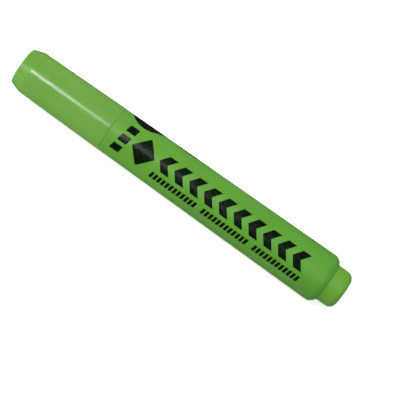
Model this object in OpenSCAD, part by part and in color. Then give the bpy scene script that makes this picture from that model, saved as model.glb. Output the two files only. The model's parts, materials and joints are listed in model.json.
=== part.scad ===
// Capped highlighter: a tapered barrel with a snap-on cap, a chisel nib fed by a
// fibre reservoir, and a pressed-in tail plug whose post takes the cap in use.
// The pen lies along X with the cap at -X, and rests on Z = 0.
// Outlines are lists of corners, [radius, station, corner radius], where a station is
// the distance along the pen from the cap's closed end.

/* [Overall] */
// Length from the cap's closed end to the tail's end
overall_length = 126; // [122:1:134]
// Segments in a full circle
$fn = 96; // [48:8:128]

/* [Cap] */
// Length of the cap
cap_length = 35; // [34:0.5:38]
// Diameter of the flat closed end
cap_end_diameter = 12.6; // [12:0.1:12.8]
// Diameter where the end's taper meets the side
cap_front_diameter = 15.05; // [14.8:0.05:15.4]
// Diameter at the mouth
cap_mouth_diameter = 15.92; // [15.6:0.02:16]
// Length of the end's taper
cap_taper_length = 3.7; // [3:0.1:4.5]

/* [Barrel] */
// Diameter where the cap meets the barrel
barrel_front_diameter = 15.82; // [15.6:0.02:16]
// Largest diameter, next to the tail
barrel_rear_diameter = 17.2; // [16.8:0.1:18]
// Number of ribs that centre the reservoir
rib_count = 8; // [4:1:10]

/* [Nib] */
// Width of the nib
nib_width = 5; // [4.4:0.1:5.2]
// Thickness of the nib
nib_thickness = 3.6; // [3:0.1:3.8]
// Slope of the writing edge across the nib, in degrees
chisel_slope = 38; // [25:1:42]
// Distance from the cap's closed end to the nib's point
nib_point_station = 9; // [8.6:0.1:10]

/* [Tail] */
// Diameter of the post that takes the cap
post_diameter = 13.1; // [12.9:0.05:13.15]
// Length of the post that shows
post_length = 6.1; // [5.5:0.1:7]

/* [Hidden] */

press_gap = 0.03;         // radial gap of a piece pressed or dropped into another
snap_gap = 0.04;          // radial gap between the cap's grips and the barrel
fibre_gap = 0.02;         // radial gap round and in the reservoir's fibre
crisp_r = 0.15;           // rounding of a crisp moulded edge
soft_r = 0.3;             // rounding of a softened moulded edge
seam_r = 0.08;            // rounding of the two edges that meet at the cap's mouth
gate_r = 1.1;             // radius of the moulding gate's dimple in each end
gate_depth = 0.25;
arc_steps = 8;            // segments in a rounded corner
overshoot = 1;            // how far a cutter runs past what it cuts

axis_height = barrel_rear_diameter / 2;

// Cap
cap_end_r = cap_end_diameter / 2;
cap_front_r = cap_front_diameter / 2;
cap_mouth_r = cap_mouth_diameter / 2;
cap_end_edge_r = 0.5;
cap_taper_edge_r = 3;
cap_end_wall = 1.5;
cap_bore_end_r = cap_end_r - 1;
cap_bore_front_r = 6.2;
cap_bore_mouth_r = 6.75;
cap_bore_taper_end = cap_taper_length + 1;
bead_r = 6.6;             // inside radius of the cap's snap bead
bead_station = cap_length - 1.6;
bead_half_width = 0.55;

// Inner seal of the cap, held by ribs in the shell
seal_r = 5.95;
seal_bore_r = 5.25;
seal_start = cap_end_wall + press_gap;
seal_taper_end = cap_bore_taper_end + 0.2;
seal_floor = 0.9;         // thickness
seal_floor_r = cap_end_r - 1.5;
seal_end = 24.6;
seal_lip_length = 0.9;    // the lip that grips the barrel's nose
seal_rib_count = 6;
seal_rib_width = 0.7;
seal_rib_start = seal_taper_end + 0.6;
seal_rib_end = seal_end - 1;

// Barrel front: a nose that the seal grips, and a neck that the cap snaps onto
nose_r = 5;
nose_start = 19.5;
nose_end = 26.2;
neck_r = 6.35;
neck_start = 27.6;
ridge_r = bead_r - snap_gap;
ridge_station = bead_station - 1.5;
ridge_half_width = 0.6;
shoulder_station = cap_length + 0.05;
holder_bore_r = 3.9;
holder_bore_end = 28;
neck_bore_r = 5.2;
neck_bore_start = holder_bore_end + 1.3;
ledge_station = cap_length + 2;

// Barrel body
barrel_front_r = barrel_front_diameter / 2;
barrel_rear_r = barrel_rear_diameter / 2;
post_start = overall_length - post_length;
barrel_end = post_start - 0.4;
barrel_taper_end = barrel_end - 1.6;
barrel_rear_edge_r = 2.4;
barrel_end_wall = 0.1;
chamber_front_r = 6.7;
chamber_rear_r = 7.05;
plug_seat_r = 7.25;
plug_seat_start = barrel_end - 9;
rib_tip_r = 6.25;
rib_root_r = barrel_front_r - 0.6;
rib_width = 0.8;
rib_start = ledge_station - 0.5;
rib_end = plug_seat_start - 1.5;

// Reservoir
reservoir_start = ledge_station + 0.1;
reservoir_end = plug_seat_start - 0.6;
reservoir_length = reservoir_end - reservoir_start;
film_r = 6.2;
film_thickness = 0.12;
fibre_r = film_r - film_thickness - fibre_gap;
tube_r = 0.6;
tube_bore_r = 0.35;
tube_offset = fibre_r - tube_r - fibre_gap;
groove_r = tube_r + fibre_gap;

// Nib
nib_half_width = nib_width / 2;
nib_corner_r = 0.7;
nib_end = ledge_station + 7;
nib_tail_taper = 2.2;     // length of the taper that enters the reservoir
nib_edge_thickness = 1.3;
nib_bevel_length = 3.4;

// Nib holder
holder_r = holder_bore_r - press_gap;
holder_flange_r = 4.45;
holder_lip_r = nib_half_width + 0.75;
holder_lip_station = 16.6;
holder_flange_station = 18.7;
holder_end = 31;
vent_count = 4;
vent_width = 0.8;
vent_depth = 0.45;
vent_start = holder_flange_station + 0.35;

// Tail plug
post_r = post_diameter / 2;
post_edge_r = 2.5;
post_root_r = 0.8;        // fillet where the post leaves the barrel
post_end_wall = 1.6;
plug_r = plug_seat_r - press_gap;
plug_start = plug_seat_start + 0.2;
plug_lead_in = 0.8;
plug_wall = 1.2;
plug_bore_r = plug_r - plug_wall;
post_bore_r = post_r - plug_wall;
stop_pin_r = 1.6;         // the pin that keeps the reservoir forward
stop_pin_start = reservoir_end + 0.1;

// ---- Outlines ----
function unit(v) = v / norm(v);
// Signed turn from direction a to direction b, in degrees, from -180 to 180
function turn(a, b) = atan2(a.x * b.y - a.y * b.x, a * b);
// Points of an arc of radius r that rounds corner p between neighbours a and b
function corner_arc(a, p, b, r) =
    let(
        to_a = unit(a - p),
        to_b = unit(b - p),
        half = acos(to_a * to_b) / 2,
        centre = p + unit(to_a + to_b) * r / sin(half),
        first = p + to_a * r / tan(half) - centre,
        last = p + to_b * r / tan(half) - centre,
        sweep = turn(first, last),
        start = atan2(first.y, first.x)
    )
    [for (k = [0:arc_steps])
        let(angle = start + sweep * k / arc_steps)
        centre + r * [cos(angle), sin(angle)]];
function flat(p) = [p.x, p.y];
// An outline with each corner rounded to its own radius, 0 for a sharp one
function rounded(corners) =
    let(n = len(corners))
    [for (i = [0:n - 1]) each
        corners[i].z == 0
            ? [flat(corners[i])]
            : corner_arc(
                flat(corners[(i + n - 1) % n]), flat(corners[i]),
                flat(corners[(i + 1) % n]), corners[i].z)];

// ---- Placing ----
// Lays what is built along +Z, from station 0, along the pen's axis
module on_pen() {
    translate([-overall_length / 2, 0, axis_height]) rotate([0, 90, 0]) children();
}
module turned(corners) {
    rotate_extrude() polygon(rounded(corners));
}
module around(count, first = 0) {
    for (i = [0:count - 1]) rotate([0, 0, first + i * 360 / count]) children();
}
// A straight bar along the pen, from radius r1 to r2 and station s1 to s2
module bar(r1, r2, width, s1, s2) {
    translate([r1, -width / 2, s1]) cube([r2 - r1, width, s2 - s1]);
}
// A rectangle with rounded corners, centred on the axis
module rounded_rectangle(x, y, r) {
    square([x - 2 * r, y], center = true);
    square([x, y - 2 * r], center = true);
    for (i = [-1, 1], j = [-1, 1]) translate([i * (x / 2 - r), j * (y / 2 - r)]) circle(r);
}
// The nib's section, grown all round by a gap
module nib_section(gap = 0) {
    rounded_rectangle(nib_thickness + 2 * gap, nib_width + 2 * gap, nib_corner_r + gap);
}
// A round rod or tube that runs the length of the reservoir
module along_reservoir(r, bore_r) {
    translate([0, 0, reservoir_start]) difference() {
        cylinder(h = reservoir_length, r = r);
        if (bore_r > 0)
            translate([0, 0, -overshoot]) cylinder(h = reservoir_length + 2 * overshoot, r = bore_r);
    }
}

// ---- Cap ----
module cap_shell() {
    color([0.45, 0.66, 0.30]) on_pen() {
        turned([
            [0, gate_depth, 0],
            [gate_r, gate_depth, 0],
            [gate_r + gate_depth, 0, 0],
            [cap_end_r, 0, cap_end_edge_r],
            [cap_front_r, cap_taper_length, cap_taper_edge_r],
            [cap_mouth_r, cap_length, seam_r],
            [cap_bore_mouth_r, cap_length, crisp_r],
            [cap_bore_mouth_r, bead_station + bead_half_width, 0],
            [bead_r, bead_station + bead_half_width / 2, 0],
            [bead_r, bead_station - bead_half_width / 2, 0],
            [cap_bore_mouth_r, bead_station - bead_half_width, 0],
            [cap_bore_front_r, cap_bore_taper_end, 2],
            [cap_bore_end_r, cap_end_wall, soft_r],
            [0, cap_end_wall, 0]
        ]);
        around(seal_rib_count)
            bar(seal_r + press_gap, cap_bore_mouth_r, seal_rib_width, seal_rib_start, seal_rib_end);
    }
}

module cap_inner_seal() {
    lip_r = nose_r + snap_gap;
    lip_start = seal_end - seal_lip_length;
    color([0.93, 0.95, 0.90]) on_pen() turned([
        [0, seal_start, 0],
        [seal_floor_r, seal_start, soft_r],
        [seal_r, seal_taper_end, 1.2],
        [seal_r, seal_end, crisp_r],
        [lip_r, seal_end, crisp_r],
        [lip_r, lip_start, 0],
        [seal_bore_r, lip_start - 0.5, 0],
        [seal_bore_r, seal_taper_end, 1],
        [seal_floor_r - 0.8, seal_start + seal_floor, soft_r],
        [0, seal_start + seal_floor, 0]
    ]);
}

// ---- Barrel ----
module barrel() {
    color([0.37, 0.63, 0.24]) on_pen() {
        turned([
            [nose_r, nose_start, 0.4],
            [nose_r, nose_end, 0],
            [neck_r, neck_start, 0.6],
            [neck_r, ridge_station - ridge_half_width, 0],
            [ridge_r, ridge_station - ridge_half_width / 3, 0],
            [ridge_r, ridge_station + ridge_half_width / 3, 0],
            [neck_r, ridge_station + ridge_half_width, 0],
            [neck_r, shoulder_station, crisp_r],
            [barrel_front_r, shoulder_station, seam_r],
            [barrel_rear_r, barrel_taper_end, barrel_rear_edge_r],
            [plug_seat_r + barrel_end_wall, barrel_end, 0],
            [plug_seat_r, barrel_end, 0],
            [plug_seat_r, plug_seat_start, 0],
            [chamber_rear_r, plug_seat_start, 0],
            [chamber_front_r, ledge_station, 0],
            [neck_bore_r, ledge_station, 0],
            [neck_bore_r, neck_bore_start, 0],
            [holder_bore_r, holder_bore_end, 0],
            [holder_bore_r, nose_start, crisp_r]
        ]);
        around(rib_count) bar(rib_tip_r, rib_root_r, rib_width, rib_start, rib_end);
    }
}

// ---- Nib and holder ----
module nib_holder() {
    color([0.37, 0.63, 0.24]) on_pen() difference() {
        turned([
            [0, holder_lip_station, 0],
            [holder_lip_r, holder_lip_station, soft_r],
            [holder_flange_r - 0.5, holder_flange_station, crisp_r],
            [holder_flange_r, holder_flange_station, crisp_r],
            [holder_flange_r, nose_start, 0],
            [holder_r, nose_start, 0],
            [holder_r, holder_end, soft_r],
            [0, holder_end, 0]
        ]);
        translate([0, 0, holder_lip_station - overshoot])
            linear_extrude(holder_end - holder_lip_station + 2 * overshoot) nib_section(press_gap);
        around(vent_count, 180 / vent_count)
            bar(holder_r - vent_depth, holder_flange_r + overshoot, vent_width,
                vent_start, holder_end + overshoot);
    }
}

// The nib seen across its broad face, as [across, station]
module nib_outline() {
    polygon([
        [-nib_half_width, nib_point_station],
        [nib_half_width, nib_point_station + nib_width * tan(chisel_slope)],
        [nib_half_width, nib_end - nib_tail_taper],
        [nib_half_width - nib_tail_taper / 2, nib_end],
        [nib_tail_taper / 2 - nib_half_width, nib_end],
        [-nib_half_width, nib_end - nib_tail_taper]
    ]);
}
// Cuts one broad face of the nib down to half the edge's thickness, along the edge
module nib_bevel_cutter() {
    reach = 4 * nib_width;
    bevel = atan((nib_thickness - nib_edge_thickness) / 2 / nib_bevel_length);
    translate([nib_edge_thickness / 2, -nib_half_width, nib_point_station])
        rotate([chisel_slope, 0, 0]) rotate([0, bevel, 0])
            translate([0, -reach / 2, -reach / 2]) cube([reach, 2 * reach, reach]);
}
module chisel_nib() {
    color([0.80, 0.95, 0.25]) on_pen() difference() {
        intersection() {
            translate([0, 0, nib_point_station])
                linear_extrude(nib_end - nib_point_station) nib_section();
            rotate([90, 0, 90]) linear_extrude(2 * nib_thickness, center = true) nib_outline();
        }
        for (side = [0, 1]) mirror([side, 0, 0]) nib_bevel_cutter();
    }
}

// ---- Ink store ----
// Has a socket for the nib's tail in its front, and a groove for the breather tube
module reservoir_fibre() {
    socket_end = nib_end + 0.05;
    color([0.72, 0.92, 0.20]) on_pen() difference() {
        along_reservoir(fibre_r, 0);
        translate([0, 0, reservoir_start - overshoot])
            linear_extrude(socket_end - reservoir_start + overshoot) nib_section(press_gap);
        translate([tube_offset, 0, reservoir_start - overshoot])
            cylinder(h = reservoir_length + 2 * overshoot, r = groove_r);
        bar(tube_offset, film_r + overshoot, 2 * groove_r,
            reservoir_start - overshoot, reservoir_end + overshoot);
    }
}
module reservoir_film() {
    color([0.88, 0.95, 0.80, 0.6]) on_pen() along_reservoir(film_r, film_r - film_thickness);
}
module breather_tube() {
    color([0.95, 0.95, 0.95]) on_pen() translate([tube_offset, 0, 0])
        along_reservoir(tube_r, tube_bore_r);
}

// ---- Tail ----
module tail_plug() {
    inner_end = overall_length - post_end_wall;
    color([0.41, 0.64, 0.24]) on_pen() {
        turned([
            [plug_r - plug_lead_in / 2, plug_start, 0],
            [plug_r, plug_start + plug_lead_in, soft_r],
            [plug_r, barrel_end, 0],
            [post_r, post_start, post_root_r],
            [post_r, overall_length, post_edge_r],
            [gate_r + gate_depth, overall_length, 0],
            [gate_r, overall_length - gate_depth, 0],
            [0, overall_length - gate_depth, 0],
            [0, inner_end, 0],
            [post_bore_r, inner_end, 1],
            [post_bore_r, post_start, 0],
            [plug_bore_r, barrel_end - 1, 0],
            [plug_bore_r, plug_start, soft_r]
        ]);
        turned([
            [0, stop_pin_start, 0],
            [stop_pin_r - plug_lead_in / 2, stop_pin_start, 0],
            [stop_pin_r, stop_pin_start + plug_lead_in, 0],
            [stop_pin_r, inner_end + crisp_r, 0],
            [0, inner_end + crisp_r, 0]
        ]);
    }
}

cap_shell();
cap_inner_seal();
barrel();
nib_holder();
chisel_nib();
reservoir_fibre();
reservoir_film();
breather_tube();
tail_plug();
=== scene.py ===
"""The looks of a capped highlighter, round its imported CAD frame: fine meshes, print, materials and studio.

Lengths along and round the pen are in millimetres, as in the CAD part. A station is the distance along
the pen from the cap's closed end. at() turns them into the frame's metres.
"""

import json
import math

import bmesh
import bpy
from mathutils import Matrix, Vector, noise


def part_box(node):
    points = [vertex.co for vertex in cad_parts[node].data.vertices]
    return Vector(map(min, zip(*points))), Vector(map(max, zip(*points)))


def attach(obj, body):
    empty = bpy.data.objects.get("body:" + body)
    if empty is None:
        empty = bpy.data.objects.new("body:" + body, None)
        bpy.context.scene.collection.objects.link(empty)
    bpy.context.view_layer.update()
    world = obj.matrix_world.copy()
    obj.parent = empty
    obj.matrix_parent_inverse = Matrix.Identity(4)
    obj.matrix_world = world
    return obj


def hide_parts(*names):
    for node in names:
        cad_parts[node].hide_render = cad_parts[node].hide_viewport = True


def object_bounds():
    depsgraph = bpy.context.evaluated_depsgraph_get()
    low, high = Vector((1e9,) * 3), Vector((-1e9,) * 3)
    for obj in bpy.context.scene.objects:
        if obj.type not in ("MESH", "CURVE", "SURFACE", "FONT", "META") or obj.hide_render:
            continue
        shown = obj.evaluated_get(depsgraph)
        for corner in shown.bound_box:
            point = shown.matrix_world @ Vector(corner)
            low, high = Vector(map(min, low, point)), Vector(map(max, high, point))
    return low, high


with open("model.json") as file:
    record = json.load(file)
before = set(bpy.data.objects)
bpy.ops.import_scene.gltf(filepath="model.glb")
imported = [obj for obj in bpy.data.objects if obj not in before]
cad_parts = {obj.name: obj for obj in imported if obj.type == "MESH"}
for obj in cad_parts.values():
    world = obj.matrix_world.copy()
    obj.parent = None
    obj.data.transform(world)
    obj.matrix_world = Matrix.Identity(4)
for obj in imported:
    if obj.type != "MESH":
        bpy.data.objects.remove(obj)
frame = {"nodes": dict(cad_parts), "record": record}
cad_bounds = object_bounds()

MM = 0.001                # metres in a millimetre

# ---- Sizes read from the frame ----
record = frame["record"]
post_mount = next(m for m in record["mounts"] if m["name"] == "tail_post")
axis_height = post_mount["pos_m"][2]
pen_start = cad_bounds[0].x


def node_ends(node):
    """A CAD node's first and last station, in mm."""
    low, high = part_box(node)
    return (low.x - pen_start) / MM, (high.x - pen_start) / MM


def node_size(node):
    """A CAD node's size along Y and Z, in mm."""
    low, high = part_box(node)
    return (high.y - low.y) / MM, (high.z - low.z) / MM


pen_length = (cad_bounds[1].x - pen_start) / MM
cap_length = node_ends("cap_shell")[1]
nose_start, barrel_end = node_ends("barrel")
plug_start = node_ends("tail_plug")[0]
seal_end = node_ends("cap_inner_seal")[1]
holder_start = node_ends("nib_holder")[0]
nib_point, nib_end = node_ends("chisel_nib")
nib_width, nib_thickness = node_size("chisel_nib")
cap_mouth_r = node_size("cap_shell")[0] / 2
post_r = post_mount["dims"]["r_mm"]
plug_r = node_size("tail_plug")[0] / 2

# ---- Sizes of the outlines, as in the CAD part ----
crisp_r = 0.15            # radii of the small rounded corners
soft_r = 0.3
seam_r = 0.08

gate_r = 1.1              # the dimple in an end face
gate_depth = 0.25
gate_edge_r = 0.1
stub_r = 0.42             # what the moulding gate left in it
stub_top_r = 0.32
stub_height = 0.14
stub_edge_r = 0.06

cap_end_r = 6.3
cap_end_edge_r = 0.5
cap_front_r = 7.525
cap_front_edge_r = 3
cap_taper = 3.7
cap_end_wall = 1.5
cap_bore_end_r = cap_end_r - 1
cap_bore_front_r = 6.2
cap_bore_mouth_r = 6.75
cap_bore_taper_end = cap_taper + 1
bead_r = 6.6
bead_station = cap_length - 1.6
bead_half = 0.55
seal_rib_count = 6
seal_rib_tip_r = 5.98
seal_rib_start = cap_bore_taper_end + 0.8
seal_rib_end = seal_end - 1
rib_fade = 0.3            # from a rib's end to where the bore is round again

nose_r = 5.0
nose_edge_r = 0.4
nose_end = 26.2
neck_r = 6.35
neck_edge_r = 0.6
neck_start = 27.6
ridge_r = 6.56
ridge_station = bead_station - 1.5
ridge_half = 0.6
shoulder = cap_length + 0.05
front_r = 7.91
ledge = cap_length + 2
neck_bore_r = 5.2
holder_bore_r = 3.9
holder_bore_end = 28.0
rear_r = 8.6
rear_edge_r = 2.4
rear_station = barrel_end - 1.6
chamber_front_r = 6.7
chamber_rear_r = 7.05
plug_seat = plug_start - 0.2
plug_seat_r = 7.25
plug_seat_bevel = 0.1
rib_count = 8
rib_tip_r = 6.25
rib_end = plug_seat - 1.5

post_start = barrel_end + 0.4
post_root_r = 0.8         # radius of the corner where the post rises from the plug's collar
post_edge_r = 2.5
post_inner_end = pen_length - 1.6
post_inner_edge_r = 1
plug_wall = 1.2
plug_throat = barrel_end - 1
lead_in_depth = 0.4       # the bevel that guides the plug and its stop pin into the barrel
lead_in_length = 0.8
stop_pin_r = 1.6
stop_pin_start = plug_seat - 0.5

nib_corner_r = 0.7
nib_slope = math.radians(38)
nib_edge_thickness = 1.3
nib_edge_r = 0.28
nib_bevel = 3.4
nib_tail_taper = 2.2


def between(x, x1, y1, x2, y2):
    """The value at x on the straight line through (x1, y1) and (x2, y2)."""
    return y1 + (y2 - y1) * (x - x1) / (x2 - x1)


def barrel_radius(station):
    """The barrel's outer radius along its straight taper, in mm."""
    return between(station, shoulder, front_r, rear_station, rear_r)


# ---- Mesh building ----
COLUMNS = 168             # points round the axis, a multiple of both rib counts
RIB_COLUMNS = 3           # faces across a rib's tip
ARC_STEPS = 8             # segments in a rounded corner
RING_GAP = 3.0            # between rings on a long straight stretch
EDGE_RING = 0.5           # from a rounded corner to the next ring, which ends the corner's wear
WORN_R = 0.5              # corners rounder than this wear less
SHARP = math.radians(32)  # edges that turn by more than this stay crisp
MERGE_DISTANCE = 1e-7     # metres within which a mesh's points become one
SHORTEST_EDGE = 1e-8      # metres below which an edge is dropped


def at(radius, station, angle):
    """A point of the pen in the frame. The angle is in radians from straight up, towards -Y."""
    return Vector((
        pen_start + station * MM,
        -radius * math.sin(angle) * MM,
        axis_height + radius * math.cos(angle) * MM,
    ))


def unit(x, y):
    """The direction of (x, y), with a length of 1."""
    length = math.hypot(x, y)
    return x / length, y / length


def corner_arc(before, corner, after, r):
    """Points of the arc of radius r that rounds a corner between its neighbours before and after."""
    ax, ay = unit(before[0] - corner[0], before[1] - corner[1])
    bx, by = unit(after[0] - corner[0], after[1] - corner[1])
    half = math.acos(max(-1, min(1, ax * bx + ay * by))) / 2
    mx, my = unit(ax + bx, ay + by)
    centre = corner[0] + mx * r / math.sin(half), corner[1] + my * r / math.sin(half)
    reach = r / math.tan(half)
    first = corner[0] + ax * reach - centre[0], corner[1] + ay * reach - centre[1]
    last = corner[0] + bx * reach - centre[0], corner[1] + by * reach - centre[1]
    start = math.atan2(first[1], first[0])
    cross = first[0] * last[1] - first[1] * last[0]
    dot = first[0] * last[0] + first[1] * last[1]
    sweep = math.atan2(cross, dot)
    turns = [start + sweep * k / ARC_STEPS for k in range(ARC_STEPS + 1)]
    return [(centre[0] + r * math.cos(turn), centre[1] + r * math.sin(turn)) for turn in turns]


def outline_points(corners):
    """An outline's points as (radius, station, wear), with rings along its long straight stretches.

    Each corner is (radius, station, radius of its rounding). Wear is 1 on a tight corner, 0 on the flats.
    """
    points = []
    for i, (radius, station, r) in enumerate(corners):
        if r:
            before, after = corners[i - 1], corners[(i + 1) % len(corners)]
            arc = corner_arc(before[:2], (radius, station), after[:2], r)
            points += [(x, y, min(1.0, WORN_R / r)) for x, y in arc]
        else:
            points.append((radius, station, 0.0))
    filled = []
    for here, following in zip(points, points[1:] + points[:1]):
        length = math.dist(here[:2], following[:2])
        filled.append(here)
        if length > 3 * EDGE_RING:
            steps = max(1, round((length - 2 * EDGE_RING) / RING_GAP))
            for k in range(steps + 1):
                part = (EDGE_RING + (length - 2 * EDGE_RING) * k / steps) / length
                radius = here[0] + (following[0] - here[0]) * part
                station = here[1] + (following[1] - here[1]) * part
                filled.append((radius, station, 0.0))
    return filled


def fill_grid(bm, rows, wear=None):
    """Adds a closed band of quads between each row of points and the next. wear has a value for each."""
    layer = bm.verts.layers.float.get("wear") or bm.verts.layers.float.new("wear")
    made = []
    for i, row in enumerate(rows):
        made.append([bm.verts.new(point) for point in row])
        for v in made[-1]:
            v[layer] = wear[i] if wear else 0.0
    for above, below in zip(made, made[1:]):
        for j in range(len(above)):
            bm.faces.new((above[j - 1], above[j], below[j], below[j - 1]))
    return made


def turn_outline(bm, corners, reshape=None):
    """Adds the solid that a closed outline makes when it is turned round the pen's axis."""
    points = outline_points(corners)
    points.append(points[0])
    rows = []
    for radius, station, _ in points:
        radii = [reshape(radius, station, k) if reshape else radius for k in range(COLUMNS)]
        rows.append([at(r, station, 2 * math.pi * k / COLUMNS) for k, r in enumerate(radii)])
    fill_grid(bm, rows, [wear for _, _, wear in points])


def ribs(count, tip_r, wall_r, first, last):
    """A reshape for turn_outline: ribs on a bore, from station first to last."""
    period = COLUMNS // count

    def reshape(radius, station, column):
        on_bore = tip_r < radius <= wall_r and first <= station <= last
        return tip_r if on_bore and column % period <= RIB_COLUMNS else radius

    return reshape


def link_object(name, data):
    """A new object in the scene."""
    made = bpy.data.objects.new(name, data)
    bpy.context.scene.collection.objects.link(made)
    return made


def finish_piece(name, bm, material, body, replaced=None):
    """The mesh as an object with its material and slot. It rides on a body and may replace a CAD node."""
    bmesh.ops.remove_doubles(bm, verts=bm.verts, dist=MERGE_DISTANCE)
    bmesh.ops.dissolve_degenerate(bm, edges=bm.edges, dist=SHORTEST_EDGE)
    bmesh.ops.recalc_face_normals(bm, faces=bm.faces)
    mesh = bpy.data.meshes.new(name)
    bm.to_mesh(mesh)
    bm.free()
    mesh.polygons.foreach_set("use_smooth", [True] * len(mesh.polygons))
    mesh.set_sharp_from_angle(angle=SHARP)
    mesh.materials.append(material)
    piece = link_object(name, mesh)
    normals = piece.modifiers.new("flat_faces_stay_flat", "WEIGHTED_NORMAL")
    normals.keep_sharp = True
    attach(piece, body)
    if replaced:
        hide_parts(replaced)


# ---- Materials ----
# A Mix node's sockets when it mixes colours. Its sockets for other types have the same names.
MIX_FACTOR = 0
MIX_UNDER = 6
MIX_OVER = 7
MIX_RESULT = 2


def add_node(tree, kind, inputs=None, **settings):
    """A new node with settings, and with each input either linked to a socket or set to a value."""
    made = tree.nodes.new(kind)
    for key, value in settings.items():
        setattr(made, key, value)
    for key, value in (inputs or {}).items():
        if isinstance(value, bpy.types.NodeSocket):
            tree.links.new(value, made.inputs[key])
        else:
            made.inputs[key].default_value = value
    return made


class Finish:
    """One procedural material, with patterns in the piece's own coordinates, in mm."""

    def __init__(self, name, colour, roughness, **constants):
        self.material = bpy.data.materials.new(name)
        self.material.use_nodes = True
        self.tree = self.material.node_tree
        self.shader = self.tree.nodes["Principled BSDF"]
        self.colour = colour
        self.roughness = roughness
        self.shader.inputs["Base Color"].default_value = (*colour, 1.0)
        self.shader.inputs["Roughness"].default_value = roughness
        for socket, value in constants.items():
            self.shader.inputs[socket.replace("_", " ")].default_value = value
        self.place = self.node("ShaderNodeTexCoord").outputs["Object"]

    def node(self, kind, inputs=None, **settings):
        return add_node(self.tree, kind, inputs, **settings)

    def noise(self, size, stretch=1.0, detail=2.0):
        """Noise with features about size mm across, and stretch times that along the pen."""
        across = 1 / (size * MM)
        along = across / stretch
        mapping = self.node("ShaderNodeMapping", {"Vector": self.place, "Scale": (along, across, across)})
        inputs = {"Vector": mapping.outputs["Vector"], "Scale": 1.0, "Detail": detail}
        return self.node("ShaderNodeTexNoise", inputs).outputs["Fac"]

    def ranged(self, value, low, high, start=0.35, end=0.65):
        """value, mapped from start..end to low..high, and held there."""
        made = self.node("ShaderNodeMapRange", {
            "Value": value, "From Min": start, "From Max": end, "To Min": low, "To Max": high,
        })
        return made.outputs["Result"]

    def maths(self, operation, a, b):
        return self.node("ShaderNodeMath", {0: a, 1: b}, operation=operation).outputs[0]

    def along_pen(self):
        """1 at the barrel's front, falling evenly to 0 at the tail."""
        along = self.node("ShaderNodeSeparateXYZ", {0: self.place}).outputs["X"]
        return self.ranged(along, 1, 0, pen_start + shoulder * MM, pen_start + pen_length * MM)

    def wear(self, size, amount):
        """Patchy wear, from 0 to amount, on the mesh's rounded corners."""
        corners = self.node("ShaderNodeAttribute", attribute_name="wear").outputs["Fac"]
        patches = self.ranged(self.noise(size, detail=4), 0, amount, start=0.42, end=0.62)
        return self.maths("MULTIPLY", corners, patches)

    def tint(self, *layers):
        """Multiplies the base colour by each (factor, gain), where a gain may be a colour, and links it."""
        under = (*self.colour, 1.0)
        for factor, gain in layers:
            colour = gain if isinstance(gain, tuple) else (gain, gain, gain)
            inputs = {MIX_FACTOR: factor, MIX_UNDER: under, MIX_OVER: (*colour, 1.0)}
            mixed = self.node("ShaderNodeMix", inputs, data_type="RGBA", blend_type="MULTIPLY")
            under = mixed.outputs[MIX_RESULT]
        self.tree.links.new(under, self.shader.inputs["Base Color"])

    def roughen(self, *layers):
        """Adds patterns to the base roughness and links the result."""
        total = self.roughness
        for layer in layers:
            total = self.maths("ADD", layer, total)
        self.tree.links.new(total, self.shader.inputs["Roughness"])

    def bumps(self, *layers):
        """Stacks bump layers, each (pattern, height in mm)."""
        inputs = {}
        for pattern, height in layers:
            inputs |= {"Height": pattern, "Distance": height * MM, "Strength": 1.0}
            inputs["Normal"] = self.node("ShaderNodeBump", inputs).outputs["Normal"]
        self.tree.links.new(inputs["Normal"], self.shader.inputs["Normal"])


def moulded_plastic(name, colour, roughness, grain, grain_height, wave_height, front_gain=1.0, **constants):
    """Moulded polypropylene: flow marks, a grain, slow waviness, fine scuffs and paler corners.

    The colour is multiplied by front_gain at the barrel's front, and less and less towards the tail.
    """
    finish = Finish(name, colour, roughness, **constants)
    flow = finish.ranged(finish.noise(7, stretch=3), 0, 1)
    specks = finish.ranged(finish.noise(0.35, detail=3), 0, 0.5, start=0.55, end=0.75)
    worn = finish.wear(1.0, 0.3)
    polish = finish.ranged(finish.noise(3, stretch=2), -0.03, 0.03)
    scuffs = finish.ranged(finish.noise(0.12, stretch=14), 0, 0.09, start=0.62, end=0.70)
    waves = finish.noise(4, stretch=2.5, detail=1)
    finish.tint((finish.along_pen(), front_gain), (flow, 1.08), (specks, 0.9), (worn, 1.25))
    finish.roughen(polish, scuffs, worn)
    finish.bumps((waves, wave_height), (finish.noise(grain, detail=3), grain_height))
    return finish.material


def soft_plastic(name, colour):
    """Natural polyethylene: waxy, a little translucent, with faint cloudiness."""
    finish = Finish(name, colour, 0.38, Subsurface_Weight=0.25, Subsurface_Scale=0.001)
    clouds = finish.ranged(finish.noise(3, stretch=2), 0, 1)
    polish = finish.ranged(finish.noise(1.5), -0.04, 0.04)
    finish.tint((clouds, 0.93))
    finish.roughen(polish)
    finish.bumps((finish.noise(3, detail=1), 0.01), (finish.noise(0.2), 0.003))
    return finish.material


def soaked_fibre(name, colour, strand, height):
    """Fibres along the pen, soaked in fluorescent ink, with a faint painted glow: a constant emission that
    shines without any lamp.
    """
    # Painted glow: the fibre gives off a little green light of its own, standing in for the ink's
    # fluorescence.
    painted_glow_colour = [0.8 * channel for channel in colour]
    glow = {"Emission_Color": (*painted_glow_colour, 1.0), "Emission_Strength": 0.12}
    finish = Finish(name, colour, 0.62, Sheen_Weight=0.2, Sheen_Roughness=0.5, **glow)
    strands = finish.noise(strand, stretch=25, detail=3)
    lumps = finish.noise(0.5, stretch=2, detail=3)
    finish.tint((finish.ranged(strands, 0.9, 0), 0.66), (finish.ranged(lumps, 0, 0.4), 1.15))
    finish.roughen(finish.ranged(lumps, -0.1, 0.1))
    finish.bumps((lumps, height), (strands, height))
    return finish.material


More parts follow.
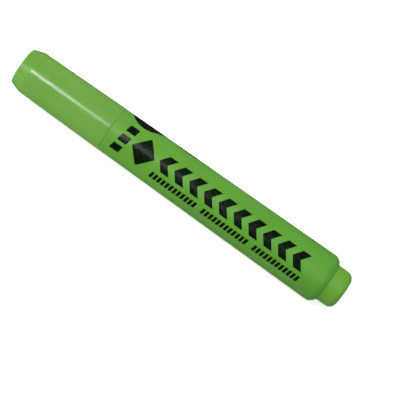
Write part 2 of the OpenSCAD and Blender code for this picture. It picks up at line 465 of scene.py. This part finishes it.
def clear_film(name, colour):
    """Thin clear wrap, faintly green from the ink behind it, with fine wrinkles along the pen."""
    finish = Finish(name, colour, 0.12, Transmission_Weight=0.7, IOR=1.49)
    wrinkles = finish.noise(0.8, stretch=8)
    finish.tint((finish.ranged(wrinkles, 0, 0.5), 0.9))
    finish.roughen(finish.ranged(wrinkles, -0.04, 0.06))
    finish.bumps((wrinkles, 0.02))
    return finish.material


def printed_ink(name, colour):
    """Dried screen ink: glossier than the barrel, a little uneven, with pinholes' grey specks."""
    finish = Finish(name, colour, 0.27, Specular_IOR_Level=0.36)
    patches = finish.noise(1.2, stretch=1.5, detail=4)
    pinholes = finish.ranged(finish.noise(0.09, detail=1), 0, 0.7, start=0.72, end=0.76)
    finish.tint((finish.ranged(patches, 0, 1), 1.9), (pinholes, 6.0))
    finish.roughen(finish.ranged(patches, -0.04, 0.07))
    finish.bumps((finish.noise(1.6), 0.006), (finish.noise(0.15, detail=3), 0.003))
    return finish.material


CAP_GREEN = (0.140, 0.328, 0.052)
BARREL_GREEN = (0.083, 0.295, 0.024)
PLUG_GREEN = (0.115, 0.335, 0.028)
SEAL_WHITE = (0.85, 0.88, 0.82)
NIB_GREEN = (0.40, 0.76, 0.03)
STORE_GREEN = (0.36, 0.78, 0.04)
FILM_TINT = (0.85, 0.92, 0.80)
INK_BLACK = (0.0006, 0.005, 0.0008)
FRONT_GAIN = (1.24, 1.04, 1.06)
CAP_DEPTH = {"Subsurface_Weight": 0.4, "Subsurface_Radius": (0.5, 1.0, 0.3), "Subsurface_Scale": 0.003}
EVEN_GRAIN = {"grain": 0.22, "grain_height": 0.008, "wave_height": 0.008}
POLISHED_GRAIN = {"grain": 0.5, "grain_height": 0.0015, "wave_height": 0.010}

materials = {
    "cap_plastic": moulded_plastic("cap_plastic", CAP_GREEN, 0.23, **POLISHED_GRAIN, **CAP_DEPTH),
    "barrel_plastic": moulded_plastic(
        "barrel_plastic", BARREL_GREEN, 0.44, **EVEN_GRAIN, front_gain=FRONT_GAIN,
    ),
    "plug_plastic": moulded_plastic("plug_plastic", PLUG_GREEN, 0.42, **EVEN_GRAIN),
    "seal_plastic": soft_plastic("seal_plastic", SEAL_WHITE),
    "nib_fibre": soaked_fibre("nib_fibre", NIB_GREEN, strand=0.07, height=0.03),
    "reservoir_fibre": soaked_fibre("reservoir_fibre", STORE_GREEN, strand=0.12, height=0.08),
    "clear_film": clear_film("clear_film", FILM_TINT),
    "print_ink": printed_ink("print_ink", INK_BLACK),
}


def dress_cad_nodes():
    """Gives every CAD node the material of the slot that the record names for it."""
    for subpart in record["subparts"]:
        for material_slot in frame["nodes"][subpart["node"]].material_slots:
            material_slot.material = materials[subpart["material_slot"]]


# ---- Turned pieces: outlines of (radius, station, radius of the rounding) ----
def gate_mark(face, inwards):
    """The dimple in an end face and the stub of the moulding gate in it, from the axis outwards."""
    floor = face + inwards * gate_depth
    stub_top = floor - inwards * stub_height
    return [
        (0, stub_top, 0),
        (stub_top_r, stub_top, stub_edge_r),
        (stub_r, floor, 0),
        (gate_r, floor, gate_edge_r),
        (gate_r + gate_depth, face, gate_edge_r),
    ]


def build_cap_shell():
    bore_mouth = bead_station - bead_half

    def on_bore(station):
        radius = between(station, cap_bore_taper_end, cap_bore_front_r, bore_mouth, cap_bore_mouth_r)
        return radius, station, 0

    bm = bmesh.new()
    turn_outline(bm, [
        *gate_mark(0, 1),
        (cap_end_r, 0, cap_end_edge_r),
        (cap_front_r, cap_taper, cap_front_edge_r),
        (cap_mouth_r, cap_length, seam_r),
        (cap_bore_mouth_r, cap_length, crisp_r),
        (cap_bore_mouth_r, bead_station + bead_half, 0),
        (bead_r, bead_station + bead_half / 2, 0),
        (bead_r, bead_station - bead_half / 2, 0),
        (cap_bore_mouth_r, bore_mouth, 0),
        on_bore(seal_rib_end + rib_fade),
        on_bore(seal_rib_end),
        on_bore(seal_rib_start),
        on_bore(seal_rib_start - rib_fade),
        (cap_bore_front_r, cap_bore_taper_end, 0),
        (cap_bore_end_r, cap_end_wall, soft_r),
        (0, cap_end_wall, 0),
    ], ribs(seal_rib_count, seal_rib_tip_r, cap_bore_mouth_r, seal_rib_start, seal_rib_end))
    finish_piece("cap_outside", bm, materials["cap_plastic"], "cap", "cap_shell")


def build_barrel():
    def on_bore(station):
        radius = between(station, ledge, chamber_front_r, plug_seat, chamber_rear_r)
        return radius, station, 0

    bm = bmesh.new()
    turn_outline(bm, [
        (nose_r, nose_start, nose_edge_r),
        (nose_r, nose_end, 0),
        (neck_r, neck_start, neck_edge_r),
        (neck_r, ridge_station - ridge_half, 0),
        (ridge_r, ridge_station - ridge_half / 3, 0),
        (ridge_r, ridge_station + ridge_half / 3, 0),
        (neck_r, ridge_station + ridge_half, 0),
        (neck_r, shoulder, crisp_r),
        (front_r, shoulder, seam_r),
        (rear_r, rear_station, rear_edge_r),
        (plug_seat_r + plug_seat_bevel, barrel_end, 0),
        (plug_seat_r, barrel_end, 0),
        (plug_seat_r, plug_seat, 0),
        (chamber_rear_r, plug_seat, 0),
        on_bore(rib_end + rib_fade),
        on_bore(rib_end),
        (chamber_front_r, ledge, 0),
        (neck_bore_r, ledge, 0),
        (neck_bore_r, holder_bore_end + neck_bore_r - holder_bore_r, 0),
        (holder_bore_r, holder_bore_end, 0),
        (holder_bore_r, nose_start, crisp_r),
    ], ribs(rib_count, rib_tip_r, chamber_rear_r, ledge, rib_end))
    finish_piece("barrel_outside", bm, materials["barrel_plastic"], "pen", "barrel")


def build_tail_plug():
    bm = bmesh.new()
    turn_outline(bm, [
        (0, stop_pin_start, 0),
        (stop_pin_r - lead_in_depth, stop_pin_start, 0),
        (stop_pin_r, stop_pin_start + lead_in_length, 0),
        (stop_pin_r, post_inner_end, soft_r),
        (post_r - plug_wall, post_inner_end, post_inner_edge_r),
        (post_r - plug_wall, post_start, 0),
        (plug_r - plug_wall, plug_throat, 0),
        (plug_r - plug_wall, plug_start, soft_r),
        (plug_r - lead_in_depth, plug_start, 0),
        (plug_r, plug_start + lead_in_length, soft_r),
        (plug_r, barrel_end, 0),
        (post_r, post_start, post_root_r),
        (post_r, pen_length, post_edge_r),
        *reversed(gate_mark(pen_length, -1)),
    ])
    finish_piece("tail_plug_outside", bm, materials["plug_plastic"], "pen", "tail_plug")


# ---- Nib ----
NIB_SIDE_GAP = 0.4        # between points along a side of a ring
NIB_EDGE_TURN = 15        # degrees of the writing edge's rounding from ring to ring, up to 90
NIB_CUT_GAP = 0.2         # between rings over the nib's cut faces
NIB_CUT_RINGS = 23
NIB_BODY_GAP = 1.2        # between the rings behind them
FELT_PULL = 0.035         # the most that cut felt's unevenness moves a point in, as a share
FELT_LUMPS_ALONG = 0.7    # lumps per mm
FELT_LUMPS_ACROSS = 2.2


def nib_section():
    """The nib's section as (across, up) points in mm: a rectangle with rounded corners, closed."""
    half_width, half_thickness = nib_width / 2, nib_thickness / 2
    corners = [(-1, -1), (1, -1), (1, 1), (-1, 1)]
    points = []
    for i, (side, level) in enumerate(corners):
        centre = side * (half_width - nib_corner_r), level * (half_thickness - nib_corner_r)
        for k in range(ARC_STEPS + 1):
            turn = math.radians(180 + 90 * (i + k / ARC_STEPS))
            across = centre[0] + nib_corner_r * math.cos(turn)
            up = centre[1] + nib_corner_r * math.sin(turn)
            points.append((across, up))
        last, following = points[-1], corners[(i + 1) % len(corners)]
        ahead = following[0] * half_width, following[1] * half_thickness
        span = math.dist(last, ahead) - nib_corner_r
        steps = round(span / NIB_SIDE_GAP)
        way = unit(ahead[0] - last[0], ahead[1] - last[1])
        for k in range(1, steps):
            points.append((last[0] + way[0] * span * k / steps, last[1] + way[1] * span * k / steps))
    return points


def cut_ring(section, depth, slant):
    """A ring of the chisel's cut faces, in mm. It is parallel to the writing edge and depth behind it."""
    edge_depth = max(0, nib_edge_r - depth)
    inset = nib_edge_r - math.sqrt(nib_edge_r**2 - edge_depth**2)
    half_limit = between(min(depth, nib_bevel), 0, nib_edge_thickness / 2, nib_bevel, nib_thickness / 2)
    ring = []
    for across, up in section:
        station = nib_point + depth + between(across, -nib_width / 2, 0, nib_width / 2, slant)
        y = across * (1 - 2 * inset / nib_width)
        z = max(-half_limit, min(half_limit, up)) * (1 - inset / half_limit)
        ring.append((station, y, z))
    return ring


def body_ring(section, station, slant):
    """A ring of the nib's body, in mm, which leans forward by slant from side to side."""
    return [(station - between(y, -nib_width / 2, slant, nib_width / 2, 0), y, z) for y, z in section]


def build_chisel_nib():
    """A loft along the nib: slanted rings behind the writing edge, which straighten towards the tail."""
    section = nib_section()
    slant = nib_width * math.tan(nib_slope)
    turns = [math.radians(degrees) for degrees in range(0, 90 + NIB_EDGE_TURN, NIB_EDGE_TURN)]
    depths = [nib_edge_r * (1 - math.cos(turn)) for turn in turns]
    depths += [nib_edge_r + NIB_CUT_GAP * k for k in range(1, NIB_CUT_RINGS + 1)]
    rings = [cut_ring(section, depth, slant) for depth in depths]
    body_start = nib_point + slant + depths[-1]
    body_end = nib_end - nib_tail_taper
    body_rings = int((body_end - body_start) / NIB_BODY_GAP) - 1
    for k in range(1, body_rings + 1):
        rings.append(body_ring(section, body_start + NIB_BODY_GAP * k, slant * (1 - k / body_rings)))
    for station, narrower in ((body_end, 0), (nib_end, nib_tail_taper)):
        rings.append([(station, y * (1 - narrower / nib_width), z) for y, z in section])
    bm = bmesh.new()
    made = fill_grid(bm, [[fibrous_point(*point) for point in ring] for ring in rings])
    bm.faces.new(made[0])
    bm.faces.new(made[-1])
    finish_piece("nib_felt", bm, materials["nib_fibre"], "pen", "chisel_nib")


def fibrous_point(station, y, z):
    """A nib point in the frame, moved in a little by the unevenness of cut felt in front of the holder."""
    uneven = FELT_PULL if station < holder_start else 0
    place = Vector((station * FELT_LUMPS_ALONG, y * FELT_LUMPS_ACROSS, z * FELT_LUMPS_ACROSS))
    pull = 1 - uneven * (0.5 + 0.5 * noise.noise(place))
    return Vector((pen_start + station * MM, y * pull * MM, axis_height + z * pull * MM))


# ---- Print: marks in (station, arc) coordinates, with the arc in mm from the top towards -Y ----
PRINT_RISE = 0.02         # height of the dried ink above the barrel
PRINT_ROOT = 0.02         # how far it is sunk, so that it leaves no gap
STRIP_WIDTH = 0.4         # of the strips that the flat marks are cut into before they are wrapped
LEAN = 0.2                # how far the marks lean towards the tail, as a slope


def wrap_marks(name, outlines):
    """Closed outlines as thin solid marks of ink, wrapped round the barrel."""
    bm = bmesh.new()
    for outline in outlines:
        corners = [bm.verts.new((station, arc, 0)) for station, arc in outline]
        for before, after in zip(corners, corners[1:] + corners[:1]):
            bm.edges.new((before, after))
    bmesh.ops.triangle_fill(bm, edges=bm.edges, use_beauty=True)
    arcs = [v.co.y for v in bm.verts]
    for k in range(math.ceil(min(arcs) / STRIP_WIDTH), math.ceil(max(arcs) / STRIP_WIDTH)):
        everything = bm.verts[:] + bm.edges[:] + bm.faces[:]
        bmesh.ops.bisect_plane(bm, geom=everything, plane_co=(0, k * STRIP_WIDTH, 0), plane_no=(0, 1, 0))
    raised = bmesh.ops.extrude_face_region(bm, geom=bm.faces[:])["geom"]
    tops = {v for v in raised if isinstance(v, bmesh.types.BMVert)}
    wrap_r = barrel_radius((shoulder + rear_station) / 2)
    for v in bm.verts:
        rise = PRINT_RISE if v in tops else -PRINT_ROOT
        v.co = at(barrel_radius(v.co.x) + rise, v.co.x, v.co.y / wrap_r)
    finish_piece(name, bm, materials["print_ink"], "pen")


def leaning(outline, base):
    """An outline with its marks leaning towards the tail, above the arc where they stand."""
    return [(station + LEAN * (base - arc), arc) for station, arc in outline]


def block(station, width, top, base):
    """The outline of an upright mark, width long from station, between the arcs top and base."""
    return [(station, base), (station + width, base), (station + width, top), (station, top)]


def oval(station, arc, length, height, first, last, steps):
    """Points of part of an oval, anticlockwise from the tail side, in degrees."""
    turns = [math.radians(first + (last - first) * k / steps) for k in range(steps + 1)]
    return [(station + length / 2 * math.cos(turn), arc + height / 2 * math.sin(turn)) for turn in turns]


def build_lines_and_diamond():
    """Three short lines, one above another, and a broad diamond beside them."""
    top = -5.0
    base = 5.7
    line_start = 37.9
    line_length = 3.4
    line_thickness = 2.7
    line_pitch = 4
    line_count = 3
    diamond_start = 43.7
    diamond_end = 52.4
    outlines = []
    for i in range(line_count):
        line_top = top + i * line_pitch
        line_shape = block(line_start, line_length, line_top, line_top + line_thickness)
        outlines.append(leaning(line_shape, base))
    middle = (top + base) / 2
    centre = (diamond_start + diamond_end) / 2
    outlines.append([(diamond_start, middle), (centre, base), (diamond_end, middle), (centre, top)])
    wrap_marks("print_lines_and_diamond", outlines)


def build_chevron_row():
    """Ten broad chevrons that point towards the nib."""
    count = 10
    row_start = 53.7
    pitch = 5.72
    stroke = 3.1
    point = 2.3
    top = -3.72
    base = 2.43
    middle = (top + base) / 2
    outlines = []
    for i in range(count):
        tip = row_start + i * pitch
        front = [(tip + point, top), (tip, middle), (tip + point, base)]
        outlines.append(front + [(station + stroke, arc) for station, arc in reversed(front)])
    wrap_marks("print_chevron_row", outlines)


def build_tick_line():
    """Three groups of twelve small leaning ticks."""
    groups = 3
    ticks = 12
    row_start = 53.4
    group_pitch = 20
    pitch = 1.5
    width = 1.0
    top = 3.85
    base = 6.2
    outlines = []
    for group in range(groups):
        for tick in range(ticks):
            station = row_start + group * group_pitch + tick * pitch
            outlines.append(leaning(block(station, width, top, base), base))
    wrap_marks("print_tick_line", outlines)


def build_drop():
    """A lying ink drop with a light along its side, and four ticks beside it, round the far side."""
    centre = 43.6
    middle = -11.6
    length = 10.4
    height = 9.2
    point = 52.0
    light_start = 200         # degrees round the drop
    light_end = 290
    light_taper = 6           # degrees by which the light's inner edge is shorter at each end
    light_inset = 2.6         # how much smaller than the drop the light's outer edge is
    light_inner_inset = 4.4   # and its inner edge
    tick_count = 4
    tick_start = 56.4
    tick_pitch = 1.78
    tick_width = 0.9
    tick_top = -12.6
    tick_base = -10.2

    def smaller_oval(inset, first, last):
        return oval(centre, middle, length - inset, height - inset, first, last, steps=14)

    reach = math.degrees(math.acos(length / 2 / (point - centre)))
    drop = oval(centre, middle, length, height, reach, 360 - reach, steps=40)
    drop.append((point, middle))
    light = smaller_oval(light_inset, light_start, light_end)
    light += reversed(smaller_oval(light_inner_inset, light_start + light_taper, light_end - light_taper))
    outlines = [drop, light]
    for i in range(tick_count):
        tick = block(tick_start + i * tick_pitch, tick_width, tick_top, tick_base)
        outlines.append(leaning(tick, tick_base))
    wrap_marks("print_drop", outlines)


dress_cad_nodes()
build_cap_shell()
build_barrel()
build_tail_plug()
build_chisel_nib()
build_lines_and_diamond()
build_chevron_row()
build_tick_line()
build_drop()

# ---- Camera, floor and lights, in metres and watts ----
AIM = Vector((0.00835, -0.00225, axis_height))
CAMERA_HEIGHT = 0.555
CAMERA_TURN = math.radians(35.37)
SENSOR_WIDTH = 36         # mm
FOCAL_LENGTH = 155.8      # mm
FLOOR_HALF = 3            # from the middle of the floor to its edge
FLOOR_GLOW = 0.55
DOME_LIGHT = 0.32
DOME_IN_REFLECTIONS = 0.06
DOME_SEEN = 1.0
WHITE = (1, 1, 1, 1)


def make_camera():
    data = bpy.data.cameras.new("camera")
    data.sensor_width = SENSOR_WIDTH
    data.lens = FOCAL_LENGTH
    data.clip_start = 0.01
    data.clip_end = 10
    camera = link_object("camera", data)
    camera.location = AIM + Vector((0, 0, CAMERA_HEIGHT))
    camera.rotation_euler = (0, 0, CAMERA_TURN)
    bpy.context.scene.camera = camera


def make_light(name, first, last, width, aim, power):
    """A rectangular light whose long middle line runs from first to last, facing aim."""
    first, last, aim = Vector(first), Vector(last), Vector(aim)
    data = bpy.data.lights.new(name, "AREA")
    data.shape = "RECTANGLE"
    data.size = (last - first).length
    data.size_y = width
    data.energy = power
    light = link_object(name, data)
    light.visible_camera = False
    middle = (first + last) / 2
    along = (last - first).normalized()
    across = (middle - aim).cross(along).normalized()
    facing = Matrix((along, across, along.cross(across))).transposed().to_4x4()
    light.matrix_world = Matrix.Translation(middle) @ facing
    return light


def make_lights():
    """A broad soft light, a low fill for the cap, a strip that draws its streak, and two end cards."""
    overhead = make_light(
        "overhead", first=(-0.7, 0.44, 1.23), last=(0.3, 0.44, 1.23), width=1.0, aim=(0, 0, 0), power=13.0,
    )
    overhead.visible_glossy = False
    cap_fill = make_light(
        "cap_fill", first=(-0.16, -0.1, 0.035), last=(-0.1, -0.16, 0.035), width=0.04,
        aim=(-0.04, 0, axis_height), power=0.085,
    )
    cap_fill.visible_glossy = False
    make_light(
        "strip", first=(-0.22, 0.034, 0.61), last=(-0.12, 0.054, 0.61), width=0.105,
        aim=(-0.045, 0, 0), power=0.95,
    )
    for side in (-1, 1):
        card = make_light(
            "end_card", first=(side * 0.45, 0, 0.72), last=(side * 0.68, 0, 0.52), width=0.22,
            aim=(0, 0, 0), power=0.8,
        )
        card.visible_diffuse = False


def make_floor():
    """A white table that is lit a little from below, so that shadows on it stay light."""
    bm = bmesh.new()
    bmesh.ops.create_grid(bm, x_segments=1, y_segments=1, size=FLOOR_HALF)
    mesh = bpy.data.meshes.new("floor")
    bm.to_mesh(mesh)
    bm.free()
    glow = {"Emission_Color": WHITE, "Emission_Strength": FLOOR_GLOW}
    finish = Finish("floor_white", (0.9, 0.9, 0.9), 0.8, **glow)
    mesh.materials.append(finish.material)
    floor = link_object("floor", mesh)
    floor.visible_glossy = False


def make_world():
    """A dome that lights softly. It looks white, but dim in reflections, as if dark cards stood round."""
    world = bpy.data.worlds.new("studio")
    world.use_nodes = True
    tree = world.node_tree
    path = add_node(tree, "ShaderNodeLightPath")
    strength = DOME_LIGHT
    for ray, changed in (("Is Glossy Ray", DOME_IN_REFLECTIONS), ("Is Camera Ray", DOME_SEEN)):
        inputs = {"Factor": path.outputs[ray], "A": strength, "B": changed}
        strength = add_node(tree, "ShaderNodeMix", inputs).outputs["Result"]
    background = tree.nodes["Background"]
    background.inputs["Color"].default_value = WHITE
    tree.links.new(strength, background.inputs["Strength"])
    bpy.context.scene.world = world


make_camera()
make_floor()
make_world()
make_lights()
bpy.context.scene.view_settings.view_transform = "Standard"
